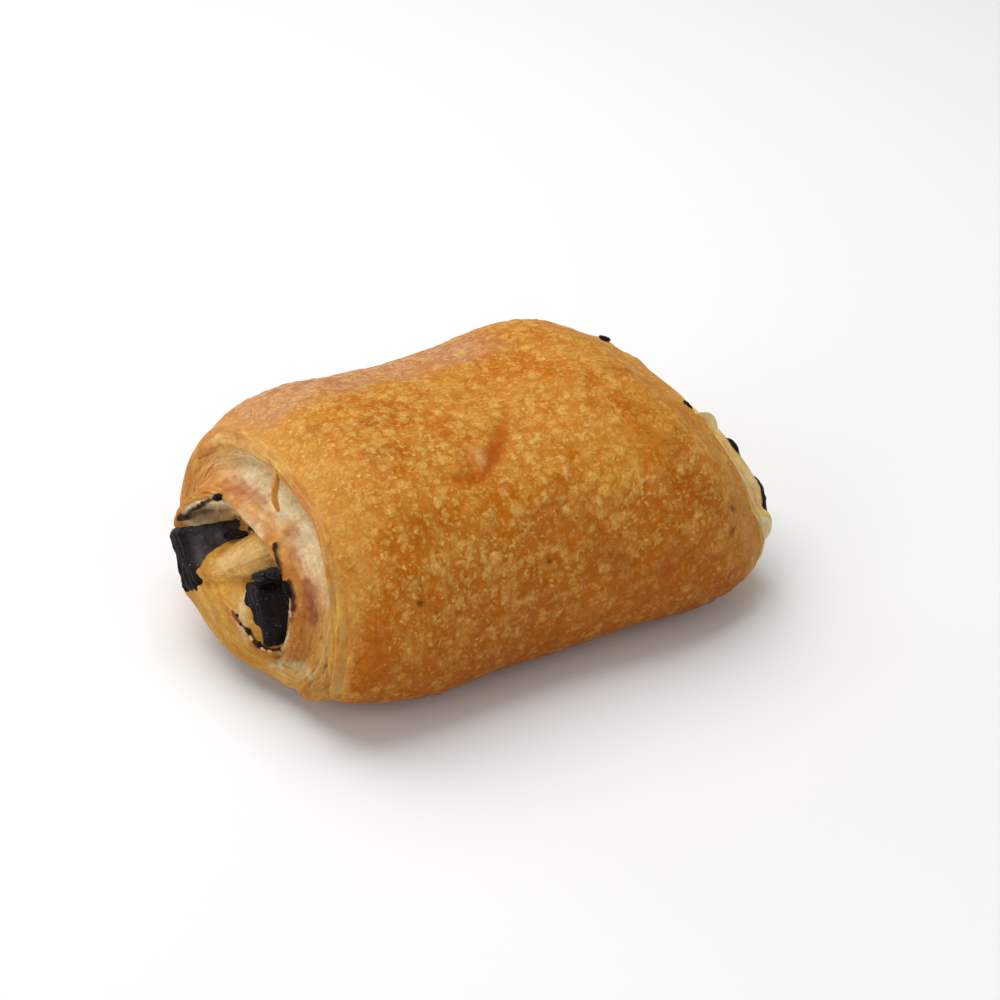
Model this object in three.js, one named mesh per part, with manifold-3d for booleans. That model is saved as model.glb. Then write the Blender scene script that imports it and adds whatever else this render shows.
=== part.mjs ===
// Pain au chocolat: rolled, egg-washed puff pastry with two sticks of dark chocolate in it.
// Millimetres. X runs along the roll, the near end is at -X, Z is up, and it rests on Z = 0.
import * as THREE from "three";
import Module from "manifold-3d";

// Driving dimensions of the roll
const HALF_LENGTH = 42; // from the middle to the foot of either crust rim
const HALF_WIDTHS = [33.2, 34.0, 33.5, 35.0, 31.4]; // at five stations, near rim to far rim
const HEIGHTS = [41.8, 42.6, 42.0, 43.3, 40.2]; // at the same stations
const SHOULDER = 0.045; // share by which the crust draws in as it turns over at a rim
const SHOULDER_CURVE = 10; // exponent of that drawing in along the roll
const WAIST = 0.33; // share of the height at which the roll is widest
const UPPER_ROUNDNESS = 2.5; // exponent of the upper half of the section
const LOWER_ROUNDNESS = 2.7; // exponent of the lower half
const BELLY = 1.1; // how far the lower half would reach past the floor before it is flattened
const FLAT_SHARE = 0.45; // share of the half length that rests flat

// The two ends. The rim's top is set back, and its foot is lifted off the floor and tucked in.
// edgeLean is the share by which the wrap's cut edge reaches out more at -Y and less at +Y.
// roll is the lip of the inner roll, which stands out past the rim by lead.
const NEAR = {
  side: -1,
  setback: 7.0,
  lift: 4.4,
  tuck: 2.6,
  edgeLean: 0.12,
  roll: { y: 1.5, z: 16.6, halfWidth: 22.5, up: 15.0, down: 14.6, lead: 5.5, leadTop: 1.0, leadFar: 0.8 },
};
const FAR = {
  side: 1,
  setback: 11.0,
  lift: 1.0,
  tuck: 1.2,
  edgeLean: 0,
  roll: { y: -1.5, z: 15.6, halfWidth: 23.5, up: 13.6, down: 12.2, lead: 7.8, leadTop: 0.9, leadFar: 0 },
};
const SETBACK_CURVE = 1.5; // exponent of the rim's lean over the height
const TUCK_HEIGHT = 14; // below this the rim is drawn back under the roll

// The cut edge of the outer wrap, from the crust inwards: share of the section, and reach
const WRAP_EDGE = [
  [0.995, 1.4],
  [0.97, 2.5],
  [0.93, 3.2],
  [0.885, 3.4],
  [0.85, 2.8],
  [0.828, 1.4],
  [0.812, -0.2],
  [0.79, -1.0],
  [0.45, -1.1],
];
const TOE = 0.75; // how far the edge's underside rises for each millimetre that it reaches out

// The lip of the inner roll, from its outer wall over the crest to the floor of the hollow:
// share of the outline, and share of the lead
const ROLL_ROUNDNESS = 2.25;
const ROLL_ROOT = 12; // how deep the inner roll starts under the rim
const ROLL_LIP = [
  [1.07, -0.3],
  [1.05, 0.15],
  [1.015, 0.5],
  [0.965, 0.78],
  [0.9, 0.95],
  [0.83, 1.0],
  [0.755, 0.92],
  [0.69, 0.66],
  [0.65, 0.25],
  [0.58, 0.0],
  [0.28, -0.05],
];

// What the near end shows round the chocolate: the pillow of dough under the sticks, and folds.
// A fold is an oval section along a curve, thick across the curve and deep along X.
const FOLD_TIP = 0.2; // share of a fold's section that is left at its tips
const PILLOW = { centre: [-43.4, 4.5, 10.2], halfSizes: [7.8, 17.5, 7.2], tilt: 8, roundness: 2.5 };
const FOLDS = {
  tongueBetweenSticks: {
    through: [[-47.2, 17.5, 7.5], [-44.2, 7.5, 16.5], [-40.0, -4.5, 24.5]],
    halfThick: 3.7,
    halfDeep: 4.4,
    steps: 12,
  },
  turnUnderLowerStick: {
    through: [[-45.8, 5.0, 6.0], [-44.2, -8.0, 5.2], [-42.2, -20.0, 7.4]],
    halfThick: 2.8,
    halfDeep: 3.2,
    steps: 12,
  },
  middleLayer: {
    through: [[-39.4, -20.5, 30.0], [-41.9, -26.4, 20.0], [-42.8, -24.0, 10.0], [-43.0, -15.0, 6.0]],
    halfThick: 1.3,
    halfDeep: 3.2,
    steps: 18,
  },
  stripOverRecess: {
    through: [[-39.2, -0.5, 37.4], [-41.0, -3.5, 35.0], [-42.0, -6.0, 31.6]],
    halfThick: 0.9,
    halfDeep: 1.0,
    steps: 6,
  },
};

// Chocolate sticks: lean is the turn of the section about X in degrees
const STICK_THICK = 6.2;
const STICK_BROAD = 11.0;
const STICK_ROUNDNESS = 4.2; // exponent of the section's corners
const STICK_BEVEL = 0.8; // length of the worn edge at each end of a stick
const STICK_END = 0.86; // share of the section that is left at the very end
const STICK_GAP = 0.3; // clearance between chocolate and dough
const UPPER_STICK = {
  name: "chocolate_stick_upper",
  lean: 31,
  from: [-51.2, 11.4, 16.6],
  to: [51.8, -8.4, 14.4],
};
const LOWER_STICK = {
  name: "chocolate_stick_lower",
  lean: 17,
  from: [-47.4, -8.6, 15.2],
  to: [48.4, -19.4, 12.6],
};

// How finely the surfaces are divided
const AROUND = 64; // points round the crust
const ALONG = 22; // rows along the crust
const CROWDING = 0.35; // share by which those rows crowd towards the rims
const ROLL_AROUND = 56;
const PILLOW_AROUND = 24;
const PILLOW_ROWS = 14;
const FOLD_AROUND = 12;
const STICK_AROUND = 24;
const STICK_ALONG = 10;

const wasm = await Module();
wasm.setup();

// Closed bodies from rings

function closedLoft(rings, firstPole, lastPole) {
  const around = rings[0].length;
  const points = [firstPole, ...rings.flat(), lastPole];
  const last = points.length - 1;
  const index = [];
  for (let k = 0; k < around; k += 1) {
    const next = (k + 1) % around;
    index.push(0, 1 + next, 1 + k);
    for (let row = 0; row + 1 < rings.length; row += 1) {
      const here = 1 + row * around;
      const there = here + around;
      index.push(here + k, here + next, there + next);
      index.push(here + k, there + next, there + k);
    }
    const end = last - around;
    index.push(end + k, end + next, last);
  }
  return facingOut(points, index);
}

function facingOut(points, index) {
  let volume = 0;
  for (let k = 0; k < index.length; k += 3) {
    const [a, b, c] = [points[index[k]], points[index[k + 1]], points[index[k + 2]]];
    volume += a.dot(new THREE.Vector3().crossVectors(b, c));
  }
  if (volume < 0) {
    for (let k = 0; k < index.length; k += 3) {
      [index[k + 1], index[k + 2]] = [index[k + 2], index[k + 1]];
    }
  }
  return new wasm.Manifold(
    new wasm.Mesh({
      numProp: 3,
      vertProperties: new Float32Array(points.flatMap((p) => p.toArray())),
      triVerts: new Uint32Array(index),
    }),
  );
}

function geometryOf(solid) {
  const mesh = solid.getMesh();
  const geometry = new THREE.BufferGeometry();
  geometry.setAttribute("position", new THREE.BufferAttribute(mesh.vertProperties, 3));
  geometry.setIndex(new THREE.BufferAttribute(mesh.triVerts, 1));
  geometry.computeVertexNormals();
  return geometry;
}

function middleOf(ring) {
  const sum = ring.reduce((total, p) => total.add(p), new THREE.Vector3());
  return sum.divideScalar(ring.length);
}

// A superellipse's point: share of the half width and of the half height at an angle
function rounded(angle, exponent) {
  const c = Math.cos(angle);
  const s = Math.sin(angle);
  return [
    Math.sign(c) * Math.abs(c) ** (2 / exponent),
    Math.sign(s) * Math.abs(s) ** (2 / exponent),
  ];
}

function angles(count) {
  return Array.from({ length: count }, (_, k) => (2 * Math.PI * k) / count);
}

// The one smooth curve through evenly spaced stations, u from -1 to 1
function throughStations(values, u) {
  const at = values.map((_, k) => -1 + (2 * k) / (values.length - 1));
  return values.reduce((sum, value, i) => {
    const weight = at.reduce((w, x, j) => (j === i ? w : (w * (u - x)) / (at[i] - x)), 1);
    return sum + value * weight;
  }, 0);
}

// Crust: the outer wrap's surface

function rimX(end, z) {
  const height = end === NEAR ? HEIGHTS[0] : HEIGHTS[HEIGHTS.length - 1];
  const top = end.setback * (Math.max(z, 0) / height) ** SETBACK_CURVE;
  const foot = end.tuck * Math.max(0, 1 - z / TUCK_HEIGHT) ** 2;
  return end.side * (HALF_LENGTH - top - foot);
}

function crustPoint(u, angle) {
  const end = u < 0 ? NEAR : FAR;
  const drawnIn = 1 - SHOULDER * Math.abs(u) ** SHOULDER_CURVE;
  const halfWidth = drawnIn * throughStations(HALF_WIDTHS, u);
  const height = drawnIn * throughStations(HEIGHTS, u);
  const past = Math.max(0, Math.abs(u) - FLAT_SHARE) / (1 - FLAT_SHARE);
  const lift = end.lift * past ** 2;
  const waist = WAIST * height;
  const upper = Math.sin(angle) >= 0;
  const [across, rise] = rounded(angle, upper ? UPPER_ROUNDNESS : LOWER_ROUNDNESS);
  const reach = upper ? height - waist : (waist - lift) * BELLY;
  const z = Math.max(waist + reach * rise, lift);
  const nearX = rimX(NEAR, z);
  const farX = rimX(FAR, z);
  return new THREE.Vector3(nearX + ((farX - nearX) * (u + 1)) / 2, -halfWidth * across, z);
}

function crustRing(u) {
  return angles(AROUND).map((angle) => crustPoint(u, angle));
}

// A ring inside the cut edge: the rim drawn in towards its middle and moved outwards
function edgeRing(end, share, reach) {
  const rim = crustRing(end.side);
  const middle = middleOf(rim);
  return rim.map((point) => {
    const p = middle.clone().lerp(point, share);
    p.x = rimX(end, p.z) + end.side * reach * (1 - (end.edgeLean * p.y) / HALF_WIDTHS[0]);
    p.z += TOE * Math.max(0, reach) * Math.max(0, 1 - p.z / TUCK_HEIGHT);
    return p;
  });
}

function makeWrap() {
  const edgeOf = (end) => WRAP_EDGE.map(([share, reach]) => edgeRing(end, share, reach));
  const crust = [];
  for (let row = 0; row <= ALONG; row += 1) {
    const even = (2 * row) / ALONG - 1;
    const crowded = -Math.cos((Math.PI * row) / ALONG);
    crust.push(crustRing(THREE.MathUtils.lerp(even, crowded, CROWDING)));
  }
  const rows = [...edgeOf(NEAR).reverse(), ...crust, ...edgeOf(FAR)];
  return closedLoft(rows, middleOf(rows[0]), middleOf(rows[rows.length - 1]));
}

// Inner roll: the next turns of dough, which stand out past the wrap as a rounded lip

function makeInnerRoll(end) {
  const { y, z, halfWidth, up, down, lead, leadTop, leadFar } = end.roll;
  const ringAt = (share, leadShare) =>
    angles(ROLL_AROUND).map((angle) => {
      const [across, rise] = rounded(angle, ROLL_ROUNDNESS);
      const height = z + share * rise * (rise > 0 ? up : down);
      const reach = leadShare * (lead + leadTop * rise - leadFar * across);
      const x = rimX(end, height) + end.side * reach;
      return new THREE.Vector3(x, y - share * across * halfWidth, height);
    });
  const root = ringAt(1, 0);
  root.forEach((p) => p.setX(end.side * (HALF_LENGTH - ROLL_ROOT)));
  const rows = [root, ...ROLL_LIP.map(([share, leadShare]) => ringAt(share, leadShare))];
  return closedLoft(rows, middleOf(root), middleOf(rows[rows.length - 1]));
}

// Folds and the pillow of dough at the near end

function makeFold({ through, halfThick, halfDeep, steps }) {
  const curve = new THREE.CatmullRomCurve3(through.map((p) => new THREE.Vector3(...p)));
  const outward = new THREE.Vector3(1, 0, 0);
  const rings = [];
  for (let step = 0; step <= steps; step += 1) {
    const t = step / steps;
    const swell = Math.max(FOLD_TIP, Math.sqrt(1 - (2 * t - 1) ** 4));
    const side = curve.getTangent(t).cross(outward).normalize();
    rings.push(
      angles(FOLD_AROUND).map((angle) =>
        curve
          .getPoint(t)
          .addScaledVector(side, halfThick * swell * Math.cos(angle))
          .addScaledVector(outward, halfDeep * swell * Math.sin(angle)),
      ),
    );
  }
  return closedLoft(rings, curve.getPoint(0), curve.getPoint(1));
}

function makePillow({ centre, halfSizes, tilt, roundness }) {
  const [halfDeep, halfLong, halfTall] = halfSizes;
  const turn = THREE.MathUtils.degToRad(tilt);
  const middle = new THREE.Vector3(...centre);
  const along = new THREE.Vector3(0, Math.cos(turn), Math.sin(turn));
  const upward = new THREE.Vector3(0, -Math.sin(turn), Math.cos(turn));
  const outward = new THREE.Vector3(1, 0, 0);
  const rings = [];
  for (let row = 1; row < PILLOW_ROWS; row += 1) {
    const [out, size] = rounded((Math.PI * row) / PILLOW_ROWS, roundness);
    rings.push(
      angles(PILLOW_AROUND).map((angle) => {
        const [across, rise] = rounded(angle, roundness);
        return middle
          .clone()
          .addScaledVector(outward, halfDeep * out)
          .addScaledVector(along, halfLong * size * across)
          .addScaledVector(upward, halfTall * size * rise);
      }),
    );
  }
  const inner = middle.clone().addScaledVector(outward, halfDeep);
  const outer = middle.clone().addScaledVector(outward, -halfDeep);
  return closedLoft(rings, inner, outer);
}

// Chocolate stick, or with a gap the room that it takes in the dough

function makeStick({ lean, from, to }, gap) {
  const start = new THREE.Vector3(...from);
  const finish = new THREE.Vector3(...to);
  const along = finish.clone().sub(start).normalize();
  start.addScaledVector(along, -gap);
  finish.addScaledVector(along, gap);
  const turn = THREE.MathUtils.degToRad(lean);
  const thick = new THREE.Vector3(0, -Math.cos(turn), Math.sin(turn));
  const broad = new THREE.Vector3(0, Math.sin(turn), Math.cos(turn));
  const ringAt = (distance, share) =>
    angles(STICK_AROUND).map((angle) => {
      const [across, rise] = rounded(angle, STICK_ROUNDNESS);
      return start
        .clone()
        .addScaledVector(along, distance)
        .addScaledVector(thick, share * across * (STICK_THICK / 2 + gap))
        .addScaledVector(broad, share * rise * (STICK_BROAD / 2 + gap));
    });
  const length = start.distanceTo(finish);
  const rings = [ringAt(0, STICK_END)];
  for (let step = 0; step <= STICK_ALONG; step += 1) {
    rings.push(ringAt(THREE.MathUtils.lerp(STICK_BEVEL, length - STICK_BEVEL, step / STICK_ALONG), 1));
  }
  rings.push(ringAt(length, STICK_END));
  return closedLoft(rings, start, finish);
}

// The dough: wrap, inner roll and folds in one body, with room for the sticks

function makePastry() {
  const pieces = [
    makeInnerRoll(NEAR),
    makeInnerRoll(FAR),
    makePillow(PILLOW),
    ...Object.values(FOLDS).map(makeFold),
  ];
  const whole = pieces.reduce((sum, piece) => sum.add(piece), makeWrap());
  const rooms = [UPPER_STICK, LOWER_STICK].map((stick) => makeStick(stick, STICK_GAP));
  return rooms.reduce((dough, room) => dough.subtract(room), whole);
}

// The finished pastry

const bakedDough = new THREE.MeshStandardMaterial({ color: 0xb8722c, roughness: 0.45, metalness: 0 });
const darkChocolate = new THREE.MeshStandardMaterial({ color: 0x1d171b, roughness: 0.4, metalness: 0 });

const painAuChocolat = new THREE.Group();

function addNode(name, solid, material) {
  const mesh = new THREE.Mesh(geometryOf(solid), material);
  mesh.name = name;
  painAuChocolat.add(mesh);
}

addNode("pastry", makePastry(), bakedDough);
addNode(UPPER_STICK.name, makeStick(UPPER_STICK, 0), darkChocolate);
addNode(LOWER_STICK.name, makeStick(LOWER_STICK, 0), darkChocolate);

// The origin is the middle of the footprint
const box = new THREE.Box3().setFromObject(painAuChocolat);
const middle = box.getCenter(new THREE.Vector3());
painAuChocolat.position.set(-middle.x, -middle.y, -box.min.z);
painAuChocolat.updateMatrixWorld(true);

export default painAuChocolat;
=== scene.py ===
"""Pain au chocolat on a pale floor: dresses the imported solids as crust, layered dough and chocolate."""

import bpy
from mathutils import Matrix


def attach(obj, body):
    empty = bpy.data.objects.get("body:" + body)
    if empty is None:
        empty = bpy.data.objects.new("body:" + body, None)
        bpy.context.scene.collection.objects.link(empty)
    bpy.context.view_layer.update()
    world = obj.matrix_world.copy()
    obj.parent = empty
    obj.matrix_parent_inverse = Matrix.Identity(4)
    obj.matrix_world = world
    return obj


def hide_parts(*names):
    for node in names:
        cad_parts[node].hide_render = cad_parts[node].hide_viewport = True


bl_info = {
    "name": "Pain au chocolat",
    "version": (1, 0, 0),
    "blender": (4, 5, 0),
    "location": "View3D > Sidebar > Pastry",
    "description": "Makes the crust, the layered ends, the chocolate and the stage of a pain au chocolat",
    "category": "Object",
}

import itertools
import math

import bpy
import numpy as np
from mathutils import Vector
from mathutils.kdtree import KDTree

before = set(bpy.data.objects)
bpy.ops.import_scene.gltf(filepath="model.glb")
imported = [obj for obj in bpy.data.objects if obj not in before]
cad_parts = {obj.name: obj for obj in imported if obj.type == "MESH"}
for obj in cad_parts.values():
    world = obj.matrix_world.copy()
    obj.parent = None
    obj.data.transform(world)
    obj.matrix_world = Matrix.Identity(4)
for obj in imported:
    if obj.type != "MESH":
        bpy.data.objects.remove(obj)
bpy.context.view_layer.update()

MM = 0.001
BODY = "root"
NODE = "pastry"

# The solid roll that the frame holds, in millimetres
MIDDLE_X = -0.3  # the middle of the roll's length lies this far along X
HALF_LENGTH = 42.0
HALF_WIDTHS = (33.2, 34.0, 33.5, 35.0, 31.4)
HEIGHTS = (41.8, 42.6, 42.0, 43.3, 40.2)
SHOULDER = 0.045
SHOULDER_CURVE = 10
WAIST = 0.33
UPPER_ROUNDNESS = 2.5
LOWER_ROUNDNESS = 2.7
BELLY = 1.1
FLAT_SHARE = 0.45
SETBACK_CURVE = 1.5
TUCK_HEIGHT = 14.0
TOE = 0.75
NEAR = {
    "side": -1,
    "height": HEIGHTS[0],
    "setback": 7.0,
    "lift": 4.4,
    "tuck": 2.6,
    "edge_lean": 0.12,
    "lip": 1.0,
    "roll": {
        "y": 1.5,
        "z": 16.6,
        "half_width": 22.5,
        "up": 15.0,
        "down": 14.6,
        "lead": 5.5,
        "lead_top": 1.0,
        "lead_far": 0.8,
    },
}
FAR = {
    "side": 1,
    "height": HEIGHTS[-1],
    "setback": 11.0,
    "lift": 1.0,
    "tuck": 1.2,
    "edge_lean": 0.0,
    "lip": 0.75,
    "roll": {
        "y": -1.5,
        "z": 15.6,
        "half_width": 23.5,
        "up": 13.6,
        "down": 12.2,
        "lead": 7.8,
        "lead_top": 0.9,
        "lead_far": 0.0,
    },
}

# Shares of the section and reaches past the rim, from the outside inwards
CRUST_LIP = (
    (0.998, 0.15), (0.992, 0.6), (0.985, 1.1), (0.977, 1.65), (0.968, 2.15),
    (0.958, 2.5), (0.945, 2.65), (0.93, 2.5), (0.92, 1.6), (0.91, -1),
)
WRAP_EDGE = (
    (0.982, -6), (0.98, -0.5), (0.976, 1.2), (0.968, 1.95), (0.958, 2.45), (0.953, 2.75), (0.93, 3.2),
    (0.885, 3.4), (0.85, 2.8), (0.828, 1.4), (0.812, -0.2), (0.79, -1), (0.02, -1.1),
)
WRAP_SEAM = 0.953  # outside this share the wrap's edge keeps its place whatever its width
# Round the near end: degrees from the side that faces the viewer, and a share of the usual
BAND_WIDTHS = (
    (-60, 1.1), (-25, 1.3), (10, 0.95), (45, 0.8), (75, 0.85), (100, 1.4), (130, 1.7), (165, 1.2), (230, 1),
)
RECESS_DEPTHS = (
    (-30, 0), (-8, 0), (12, 0.3), (32, 0.75), (50, 1), (108, 1), (128, 0.4), (145, 0), (320, 0),
)

# Lip of the inner roll: share of its outline, and share of its lead
ROLL_ROUNDNESS = 2.25
ROLL_LIP = (
    (0, -0.05), (0.48, 0), (0.58, 0.2), (0.67, 0.5), (0.75, 0.84), (0.81, 0.98),
    (0.85, 1), (0.89, 0.88), (0.95, 0.6), (1.02, 0.32), (1.1, 0.06), (1.25, -2.5),
)
LIP_SIZE = 33  # a whole share of the crust's lip in millimetres
SECTION_SIZE = 30  # a whole share of the section
ROLL_SIZE = 20  # a whole share of the inner roll's outline
FILLED_RISE = 3.2  # how far the recess rises where it is filled
PILLOW = {"centre": (-43.4, 3.6, 11), "half_sizes": (7.8, 16.4, 8), "tilt": 8, "roundness": 2.5}

# Folds of dough: the curve of the crest, half the thickness at its ends, and how steep it falls off
TONGUE = {
    "through": ((-50.9, 12, 10.4), (-50.2, 7.6, 14.2), (-47.8, 1, 19.3), (-44.8, -4, 23.8), (-42.4, -8, 27)),
    "half": (2.4, 4),
    "steep": 3,
}
TURN = {"through": ((-48.6, 6, 5.6), (-47.4, -8, 5.2), (-45.4, -20, 7.4)), "half": (3, 3), "steep": 3}
UNDERLAYER = {
    "through": ((-42, -25, 22), (-44, -25.5, 14), (-45.6, -20.5, 7)),
    "half": (3, 4.5),
    "steep": 2,
}
FAR_FOLD = {"through": ((46, -14, 6), (47.6, -20, 8), (47, -24.4, 12.5)), "half": (3.4, 3.2), "steep": 1}

# Creases and welts of the near end: depth, half width, and the places (y, z) that each runs through
CREASES = (
    (0.7, 0.6, ((16, 10), (9, 14), (3, 15.6), (-3, 18), (-7, 20))),
    (1, 1.6, ((11, 21.6), (8, 22.8), (6, 23.4))),
    (-2, 1.7, ((22, 16.5), (19, 20.6), (15.4, 23.8), (11, 26.2))),
    (0.5, 0.5, ((-26.4, 18), (-28.2, 14), (-28, 9))),
    (0.9, 0.45, ((24, 27.5), (17, 32.5), (8, 35.2), (2, 35.6))),
    (0.5, 0.4, ((-19, 22), (-23.5, 14), (-22, 7), (-14, 3))),
    (-0.6, 0.8, ((-27, 29), (-30.2, 22), (-30.4, 14), (-28.5, 7))),
    (-0.4, 0.7, ((13, 14.5), (4, 17.4), (-4, 20))),
    (0.6, 0.5, ((-22, 33.5), (-27, 26.5), (-29, 18), (-28.6, 11))),
    (0.9, 0.35, ((-27.3, 16), (-26.6, 13.2))),
)

# Colour on the near end, with some painted shade: sRGB colour, strength, half width, and the places (y, z)
# of each stroke
STROKES = (
    ((160, 82, 44), 0.75, 1.1, ((11.5, 29.6), (5, 30.6), (-1, 31.2))),
    ((170, 92, 44), 0.6, 1, ((-9, 30), (-12, 28.4), (-14, 26))),
    ((150, 66, 36), 0.85, 1.1, ((-16.6, 25), (-19, 21.6), (-20.2, 18.6))),
    ((176, 104, 34), 0.6, 1.8, ((-19.6, 17), (-19.6, 13), (-16, 9))),
    ((206, 150, 62), 0.6, 1.6, ((-21.5, 21), (-22.4, 15), (-22, 11))),
    ((176, 96, 34), 0.6, 0.7, ((0.5, 15.5), (-3.5, 14), (-7.5, 11.8), (-11.5, 9.4))),
    ((196, 124, 44), 0.5, 1, ((8, 12.5), (2, 10.6), (-4, 8), (-10, 6.2))),
    ((210, 196, 146), 0.75, 1.3, ((-12, 7), (-16, 9), (-19.5, 10.2), (-24, 11))),
    # pale dough, its grey painted shade
    ((214, 200, 150), 0.6, 0.8, ((-31.4, 18.5), (-31.3, 14), (-30.8, 9.5))),
    # painted shade: pale dough in shade, painted olive
    ((160, 132, 74), 0.7, 0.6, ((-25.6, 28.5), (-26.4, 24), (-26.6, 19), (-27.2, 15))),
    # painted shade: dark in the narrow crease along the same path
    ((112, 80, 30), 0.85, 0.3, ((-27.3, 16), (-26.6, 13.2))),
    ((226, 172, 70), 0.7, 0.7, ((-27.4, 29), (-28.5, 24), (-28.6, 19), (-28.6, 14.5))),
    ((204, 136, 46), 0.6, 0.8, ((-27.8, 30), (-30, 24), (-30.4, 17), (-30, 11))),
    ((192, 116, 74), 0.55, 0.7, ((-5, 38), (-14.5, 36.6), (-20.3, 33), (-24, 29))),
    ((206, 136, 62), 0.5, 0.6, ((-8, 40), (-18, 37.4), (-25.5, 31.5), (-29, 26))),
    ((188, 108, 18), 0.9, 1.1, ((25, 29), (22.6, 33.2), (19, 36))),
    ((226, 206, 156), 0.65, 0.7, ((17, 37.6), (9, 39.8), (0, 40.8))),
    ((232, 188, 112), 0.5, 0.8, ((19, 33.6), (10, 36.6), (1, 37.6))),
    # painted shade: a greyish line just under the crust's edge
    ((170, 166, 122), 0.35, 0.6, ((3, 37), (-8, 36), (-14, 33.6))),
    ((156, 74, 30), 0.6, 0.8, ((-18.2, 24.2), (-19, 22), (-19.2, 19.8))),
    ((232, 190, 112), 0.5, 1.2, ((8.5, 13.5), (4, 12.4), (-0.5, 10.6))),
    ((198, 128, 46), 0.5, 0.6, ((6.5, 15), (2.5, 13.4), (-2.5, 10.6), (-6, 8.2))),
    ((238, 208, 150), 0.55, 1.4, ((4, 19.5), (-1, 22), (-5, 25.5))),
    ((236, 212, 160), 0.7, 1, ((-4.5, 17), (-6.5, 14.5), (-8.4, 10.8))),
    ((232, 214, 172), 0.75, 1.6, ((10, 26.2), (3, 28), (-6, 28.4))),
    ((150, 92, 34), 0.7, 1.1, ((18.4, 20.2), (15.6, 22))),
)

# Melted chocolate on the dough: sRGB colour, thickness, half width, and the places (y, z) of each smear
SMEARS = (
    ((20, 10, 10), 0.35, 0.9, ((19.6, 19.4), (18.8, 20.4), (17.6, 21.5))),
    ((24, 12, 10), 0.25, 0.55, ((17.6, 21.5), (15.6, 23.3), (13.1, 25.4), (9.5, 28.2))),
    ((22, 12, 12), 0.3, 0.45, ((-9, 28.2), (-10.6, 27.2), (-12.2, 26.2), (-13.6, 25))),
    ((62, 34, 36), 0.3, 0.5, ((-14.8, 24.7), (-16.2, 22.8), (-17, 20.6), (-17.2, 18.4))),
    ((46, 22, 18), 0.25, 0.45, ((-7.4, 13.3), (-9.2, 12.4), (-10.2, 11.1), (-11.6, 10.4), (-13.4, 10.2))),
    ((130, 62, 34), 0.05, 0.35, ((-4.4, 14.6), (-6, 13.8), (-7.4, 13.2))),
    ((30, 16, 14), 0.2, 0.35, ((6.4, 22.4), (3.6, 22.8))),
)

# Thin leaves of dough that stand free: name, half width and thickness, sRGB colour, and their way
STRIP_WAY = (
    (-36.5, 0.5, 37), (-38.6, -1.7, 37.5), (-40.1, -3.8, 36.4), (-41.2, -4.9, 34.5), (-40.7, -5.2, 31.6),
)
FLAKE_WAY = ((32.8, -16.6, 33.4), (34.8, -18, 33.5), (36.2, -19, 32.9), (36.4, -20.4, 31))
LEAVES = (
    ("near_strip", (0.68, 0.3), (216, 150, 58), STRIP_WAY),
    ("far_flake", (1.5, 0.35), (226, 194, 116), FLAKE_WAY),
)
LEAF_ROWS = 60
LEAF_AROUND = 48

# Broken bits: where each starts and ends, its width and its thickness
UPPER_BITS = (
    ((-46.5, 19.9, 19.2), (-46.1, 18.4, 20.8), 1.4, 1),
    ((-46, 18.2, 20.9), (-45.7, 16.6, 22.3), 1.2, 0.9),
    ((-45.3, 9.6, 28.2), (-45.2, 8, 28.9), 1.4, 1.1),
    ((-44, 9.4, 20.4), (-41.9, 5, 22.2), 1.6, 1.2),
    ((-51.3, 11.4, 12.4), (-51.1, 10.6, 10.8), 1.2, 1),
    ((32.6, 10, 38), (33.4, 8, 37.9), 0.8, 0.7),
    ((33.6, -14.6, 35.7), (34, -16.6, 35.1), 1.1, 0.9),
)
LOWER_BITS = (
    ((-46.3, -6.8, 21.5), (-45, -11.4, 24), 2.7, 2),
    ((-45.4, -9.4, 23.6), (-44.5, -13.2, 24.9), 2.1, 1.5),
    ((-44.9, -14.8, 24.6), (-44.9, -16.4, 22.6), 1, 0.6),
    ((-49.1, -8.2, 13.1), (-48.8, -9.2, 12.5), 0.9, 0.7),
    ((-48.2, -10.4, 11.3), (-47.8, -11.2, 10.8), 0.9, 0.7),
    ((-49.6, -6.9, 13.6), (-49.5, -7.3, 13.3), 0.45, 0.4),
    ((-49.6, -5.6, 14.6), (-49.5, -6, 14.3), 0.4, 0.35),
)
CRUMBS = (
    ((-49, -9.2, 12.2), (-48.8, -9.8, 11.6), 0.6, 0.4),
    ((-48, -11, 10.7), (-47.6, -11.7, 10.3), 0.6, 0.4),
    ((-47.2, -12, 10.3), (-46.8, -12.6, 10.1), 0.5, 0.35),
    ((-45.2, -17, 20.4), (-45.2, -17.3, 19.2), 0.5, 0.3),
)

BIT_RADIUS = 0.56  # of a bit one unit wide, shaken out of shape
BIT_SHAKE = 0.1
BIT_EDGE_DEGREES = 28

# Chocolate sticks: how far each leans over, how strong its painted sheen is, and the middles of its ends
STICK_THICK = 6.2
STICK_BROAD = 11
STICK_ROUNDNESS = 4.2
STICK_AROUND = 140
FACE_RINGS = 12
TIP_RINGS = 60
MIDDLE_RINGS = 30
TIP_LENGTH = 14
UPPER_STICK = {"lean": 31, "painted_sheen": 1.2, "from": (-51.2, 11.4, 16.6), "to": (51.4, -8.4, 14.3)}
LOWER_STICK = {"lean": 17, "painted_sheen": 0.15, "from": (-47.4, -8.6, 15.2), "to": (48.4, -19.4, 12.6)}

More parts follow.
